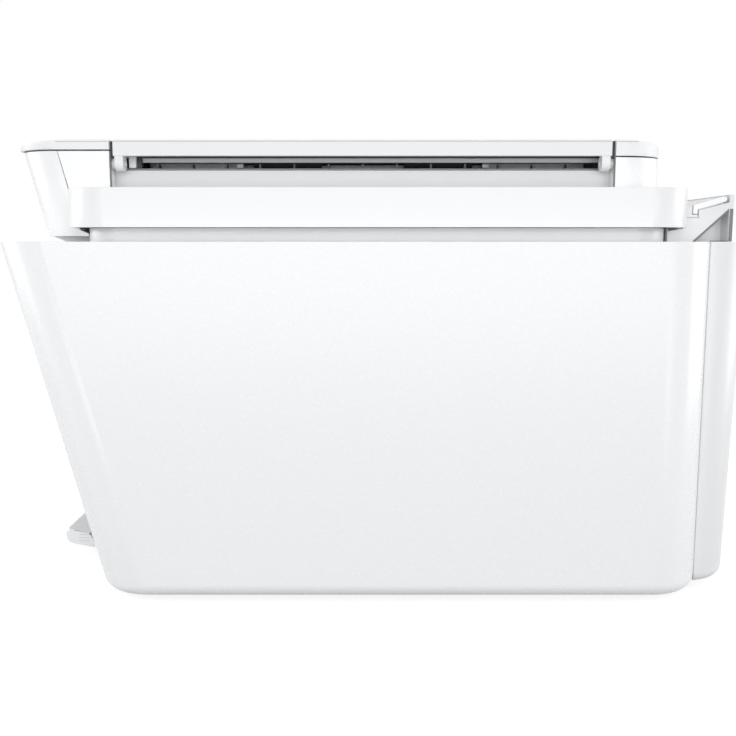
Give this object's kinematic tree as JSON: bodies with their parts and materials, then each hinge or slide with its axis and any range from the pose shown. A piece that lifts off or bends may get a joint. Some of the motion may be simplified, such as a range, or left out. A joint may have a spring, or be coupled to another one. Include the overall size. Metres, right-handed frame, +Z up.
{
  "type": "multifunction inkjet printer",
  "caption": "Compact white all-in-one printer with flatbed lid, side document slot and flap, rear paper support and front output tray.",
  "frame": {"origin": "on the floor plane under the middle of the bounding box", "axes": "+X towards the side with the document slot, -Y towards the front, +Z up"},
  "size_m": [0.428, 0.336, 0.2057],
  "materials": {
    "casing": "white moulded plastic, soft satin gloss",
    "inner_grey": "light grey moulded plastic",
    "catch_grey": "pale grey plastic",
    "inner_black": "black moulded plastic",
    "cartridge": "dark grey plastic",
    "sheet_steel": "zinc plated sheet",
    "polished_steel": "ground bright steel",
    "glass": "clear float glass",
    "display": "dark display window",
    "backing": "white foam backed sheet",
    "rubber": "matt black rubber",
    "gear": "natural acetal",
    "board": "green circuit board",
    "key": "grey key caps"
  },
  "bodies": {
    "root": {"bottom_case": "casing", "right_side_cover": "casing", "left_side_cover": "casing", "front_panel": "casing", "rear_cover": "casing", "case_screws": "polished_steel", "power_inlet": "inner_black", "usb_port": "inner_black", "rubber_feet": "rubber", "top_deck": "casing", "middle_band": "casing", "scanner_base": "casing", "front_fascia": "casing", "glass_bezel": "inner_grey", "scanner_glass": "glass", "document_guide": "inner_black", "scan_rail": "polished_steel", "lid_hinge_brackets": "inner_grey", "lid_hinge_pins": "polished_steel", "control_deck": "casing", "display_window": "display", "hopper": "casing", "separation_pad": "rubber", "chassis": "sheet_steel", "platen": "inner_black", "service_station": "inner_black", "carriage_rail": "polished_steel", "timing_belts": "rubber", "drive_motors": "sheet_steel", "main_board": "board", "power_unit": "cartridge"},
    "lid": {"lid_shell": "casing", "lid_backing": "backing", "lid_hinge_arms": "inner_grey", "document_gate": "inner_grey"},
    "flap": {"document_flap": "casing"},
    "adf_feed": {"adf_feed_roller": "rubber"},
    "adf_idler": {"adf_idler_roller": "rubber"},
    "scan_bar": {"scan_carriage": "inner_black"},
    "support": {"paper_support": "casing"},
    "extension": {"support_extension": "casing"},
    "slot_cover": {"feed_slot_cover": "casing"},
    "right_guide": {"right_paper_guide": "inner_grey"},
    "left_guide": {"left_paper_guide": "inner_grey"},
    "feed": {"feed_roller": "rubber"},
    "output": {"output_roller": "rubber"},
    "pickup": {"pickup_roller": "rubber"},
    "pinch": {"pinch_rollers": "rubber"},
    "front_idler": {"front_idler_gear": "gear"},
    "rear_idler": {"rear_idler_gear": "gear"},
    "carriage": {"ink_carriage": "inner_black", "ink_cartridges": "cartridge"},
    "door": {"cartridge_door": "casing"},
    "tray": {"output_tray": "casing"},
    "catch": {"output_catch": "catch_grey"},
    "power_key": {"power_button": "key"},
    "left_key": {"left_button": "key"},
    "right_key": {"right_button": "key"},
    "stop_key": {"stop_button": "key"},
    "start_key": {"start_button": "key"}
  },
  "joints": [
    {"name": "lid_hinge", "type": "hinge", "parent": "root", "child": "lid", "pos_m": [0.01115, 0.137, 0.2001], "axis": [-1, 0, 0], "range_deg": [0, 75]},
    {"name": "flap_hinge", "type": "hinge", "parent": "lid", "child": "flap", "pos_m": [0.174, -0.00695, 0.1952], "axis": [0, 1, 0], "range_deg": [0, 165]},
    {"name": "adf_feed_spin", "type": "hinge", "parent": "lid", "child": "adf_feed", "pos_m": [0.15, -0.00695, 0.1981], "axis": [0, 1, 0], "continuous": true},
    {"name": "adf_idler_spin", "type": "hinge", "parent": "root", "child": "adf_idler", "pos_m": [0.15, -0.00695, 0.1895], "axis": [0, 1, 0], "continuous": true},
    {"name": "scan_slide", "type": "slide", "parent": "root", "child": "scan_bar", "axis": [-1, 0, 0], "range_m": [0, 0.283]},
    {"name": "support_slide", "type": "slide", "parent": "root", "child": "support", "axis": [0, 0.1392, 0.9903], "range_m": [0, 0.11]},
    {"name": "extension_slide", "type": "slide", "parent": "support", "child": "extension", "axis": [0, 0.1392, 0.9903], "range_m": [0, 0.06]},
    {"name": "slot_cover_hinge", "type": "hinge", "parent": "extension", "child": "slot_cover", "pos_m": [0, 0.1572, 0.17894], "axis": [-1, 0, 0], "range_deg": [0, 104]},
    {"name": "right_guide_slide", "type": "slide", "parent": "root", "child": "right_guide", "axis": [-1, 0, 0], "range_m": [0, 0.06]},
    {"name": "left_guide_slide", "type": "slide", "parent": "root", "child": "left_guide", "axis": [1, 0, 0], "range_m": [0, 0.06]},
    {"name": "feed_spin", "type": "hinge", "parent": "root", "child": "feed", "pos_m": [0, 0.06, 0.042], "axis": [1, 0, 0], "continuous": true},
    {"name": "output_spin", "type": "hinge", "parent": "root", "child": "output", "pos_m": [0, -0.025, 0.043], "axis": [1, 0, 0], "continuous": true},
    {"name": "pickup_spin", "type": "hinge", "parent": "root", "child": "pickup", "pos_m": [0, 0.1225, 0.0914], "axis": [1, 0, 0], "continuous": true},
    {"name": "pinch_spin", "type": "hinge", "parent": "root", "child": "pinch", "pos_m": [0, 0.06, 0.0539], "axis": [1, 0, 0], "continuous": true},
    {"name": "front_idler_spin", "type": "hinge", "parent": "root", "child": "front_idler", "pos_m": [0.16, 0.0155, 0.04252], "axis": [1, 0, 0], "continuous": true},
    {"name": "rear_idler_spin", "type": "hinge", "parent": "root", "child": "rear_idler", "pos_m": [0.16, 0.09282, 0.06794], "axis": [1, 0, 0], "continuous": true},
    {"name": "carriage_slide", "type": "slide", "parent": "root", "child": "carriage", "axis": [-1, 0, 0], "range_m": [0, 0.21]},
    {"name": "door_hinge", "type": "hinge", "parent": "root", "child": "door", "pos_m": [0, -0.14362, 0.07617], "axis": [1, 0, 0], "range_deg": [0, 80]},
    {"name": "tray_slide", "type": "slide", "parent": "root", "child": "tray", "axis": [0, -1, 0], "range_m": [0, 0.12]},
    {"name": "catch_hinge", "type": "hinge", "parent": "tray", "child": "catch", "pos_m": [0, -0.1553, 0.0155], "axis": [1, 0, 0], "range_deg": [0, 135]},
    {"name": "power_press", "type": "slide", "parent": "root", "child": "power_key", "axis": [0, 0, -1], "range_m": [0, 0.0008], "stiffness_N_per_m": 400},
    {"name": "left_press", "type": "slide", "parent": "root", "child": "left_key", "axis": [0, 0, -1], "range_m": [0, 0.0008], "stiffness_N_per_m": 400},
    {"name": "right_press", "type": "slide", "parent": "root", "child": "right_key", "axis": [0, 0, -1], "range_m": [0, 0.0008], "stiffness_N_per_m": 400},
    {"name": "stop_press", "type": "slide", "parent": "root", "child": "stop_key", "axis": [0, 0, -1], "range_m": [0, 0.0008], "stiffness_N_per_m": 400},
    {"name": "start_press", "type": "slide", "parent": "root", "child": "start_key", "axis": [0, 0, -1], "range_m": [0, 0.0008], "stiffness_N_per_m": 400}
  ],
  "couplings": [
    {"joint": "adf_idler_spin", "follows": "adf_feed_spin", "ratio": -1.05},
    {"joint": "left_guide_slide", "follows": "right_guide_slide", "ratio": 1},
    {"joint": "output_spin", "follows": "feed_spin", "ratio": 1.25},
    {"joint": "pickup_spin", "follows": "feed_spin", "ratio": 1.25},
    {"joint": "pinch_spin", "follows": "feed_spin", "ratio": -1.875},
    {"joint": "front_idler_spin", "follows": "feed_spin", "ratio": -0.83333},
    {"joint": "rear_idler_spin", "follows": "feed_spin", "ratio": -0.93023}
  ]
}
